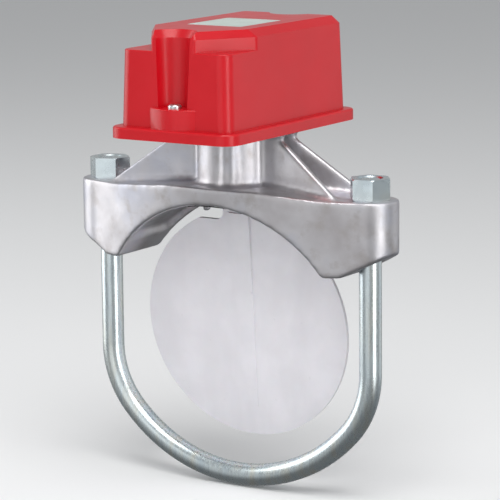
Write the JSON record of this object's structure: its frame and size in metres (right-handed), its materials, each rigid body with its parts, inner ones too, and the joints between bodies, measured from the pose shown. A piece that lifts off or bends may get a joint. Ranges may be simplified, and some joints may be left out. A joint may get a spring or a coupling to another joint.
{
  "type": "vane flow switch",
  "caption": "Pipe-mounted vane flow switch: red cover over a die-cast saddle, round plastic vane below, clamped by a U-bolt with two hexagon nuts.",
  "frame": {"origin": "on the axis of the pipe that the switch is clamped to, in the plane of the U-bolt", "axes": "+Z from the pipe up into the switch housing, +Y along the pipe in the direction of flow, X from one leg of the U-bolt to the other"},
  "size_m": [0.2272, 0.152, 0.2946],
  "materials": {
    "cast_aluminium": "raw die-cast",
    "gasket_rubber": "matt",
    "stainless": "ground",
    "seal_rubber": "matt",
    "red_cover": "glossy",
    "zinc_screw": "zinc plated",
    "zinc_rod": "zinc plated",
    "zinc_nut": "zinc plated",
    "vane_plastic": "matt, slightly translucent",
    "zinc_sheet": "zinc plated",
    "brass": "turned",
    "boot_rubber": "matt",
    "switch_case": "moulded",
    "spring_steel": "bright",
    "fish_paper": "pressed board",
    "nickel": "nickel plated",
    "green_screw": "dyed",
    "plug_plastic": "moulded",
    "retard_case": "moulded",
    "dial_plastic": "moulded"
  },
  "bodies": {
    "base": {"saddle_casting": "cast_aluminium", "pipe_gasket": "gasket_rubber", "pivot_pin": "stainless", "cover_seal": "seal_rubber", "seal_boot": "boot_rubber", "boot_ring": "zinc_sheet", "ring_screws": "zinc_screw", "switch_left": "switch_case", "switch_right": "switch_case", "switch_insulator": "fish_paper", "switch_screws": "zinc_screw", "terminal_tabs": "brass", "terminal_screws": "nickel", "switch_bracket": "zinc_sheet", "retard_bracket": "zinc_sheet", "bracket_screws": "zinc_screw", "ground_screw": "green_screw", "conduit_plug": "plug_plastic", "retard_body": "retard_case", "return_spring": "spring_steel"},
    "cover": {"cover": "red_cover"},
    "cover_screw_front": {"cover_screw_front": "zinc_screw"},
    "cover_screw_rear": {"cover_screw_rear": "zinc_screw"},
    "vane": {"stem": "stainless", "paddle": "vane_plastic", "paddle_clamp": "stainless", "clamp_screws": "stainless", "trip_arm": "zinc_sheet", "trip_screws": "brass", "arm_screw": "zinc_screw"},
    "u_bolt": {"u_bolt": "zinc_rod"},
    "nut_left": {"nut_left": "zinc_nut"},
    "nut_right": {"nut_right": "zinc_nut"},
    "switch_lever_left": {"switch_lever_left": "spring_steel"},
    "switch_lever_right": {"switch_lever_right": "spring_steel"},
    "retard_plunger": {"retard_plunger": "stainless"},
    "retard_dial": {"retard_dial": "dial_plastic"}
  },
  "joints": [
    {"name": "vane_swing", "type": "hinge", "parent": "base", "child": "vane", "pos_m": [0, 0, 0.1215], "axis": [1, 0, 0], "range_deg": [-5.5, 12], "stiffness_Nm_per_rad": 0.6, "deforming": ["return_spring"]},
    {"name": "switch_lever_left_swing", "type": "hinge", "parent": "base", "child": "switch_lever_left", "pos_m": [-0.00595, -0.01875, 0.1646], "axis": [1, 0, 0], "range_deg": [-10.6, 4.9]},
    {"name": "switch_lever_right_swing", "type": "hinge", "parent": "base", "child": "switch_lever_right", "pos_m": [0.00595, -0.01875, 0.1646], "axis": [1, 0, 0], "range_deg": [-10.6, 4.9]},
    {"name": "retard_plunger_slide", "type": "slide", "parent": "base", "child": "retard_plunger", "axis": [0, 1, 0], "range_m": [-0.0065, 0.003]},
    {"name": "retard_dial_turn", "type": "hinge", "parent": "base", "child": "retard_dial", "pos_m": [0, 0.0425, 0.1515], "axis": [0, 1, 0], "range_deg": [-150, 150]},
    {"name": "cover_lift", "type": "slide", "parent": "base", "child": "cover", "axis": [0, 0, 1], "range_m": [0, 0.1]},
    {"name": "cover_screw_front_turn", "type": "hinge", "parent": "cover", "child": "cover_screw_front", "pos_m": [0, -0.0674, 0.1497], "axis": [0, 0, 1], "continuous": true},
    {"name": "cover_screw_rear_turn", "type": "hinge", "parent": "cover", "child": "cover_screw_rear", "pos_m": [0, 0.0674, 0.1497], "axis": [0, 0, 1], "continuous": true},
    {"name": "u_bolt_raise", "type": "slide", "parent": "base", "child": "u_bolt", "axis": [0, 0, 1], "range_m": [-0.006, 0.002]},
    {"name": "nut_right_turn", "type": "hinge", "parent": "base", "child": "nut_right", "pos_m": [0.096, 0, 0.0925], "axis": [0, 0, 1], "range_deg": [-364, 1084]},
    {"name": "nut_left_turn", "type": "hinge", "parent": "base", "child": "nut_left", "pos_m": [-0.096, 0, 0.0925], "axis": [0, 0, 1], "range_deg": [-364, 1084]}
  ],
  "couplings": [
    {"joint": "switch_lever_left_swing", "follows": "vane_swing", "ratio": -0.87},
    {"joint": "switch_lever_right_swing", "follows": "vane_swing", "ratio": -0.87},
    {"joint": "retard_plunger_slide", "follows": "vane_swing", "m_per_rad": -0.0301},
    {"joint": "nut_right_turn", "follows": "u_bolt_raise", "rad_per_m": -3141.6},
    {"joint": "nut_left_turn", "follows": "u_bolt_raise", "rad_per_m": -3141.6}
  ]
}
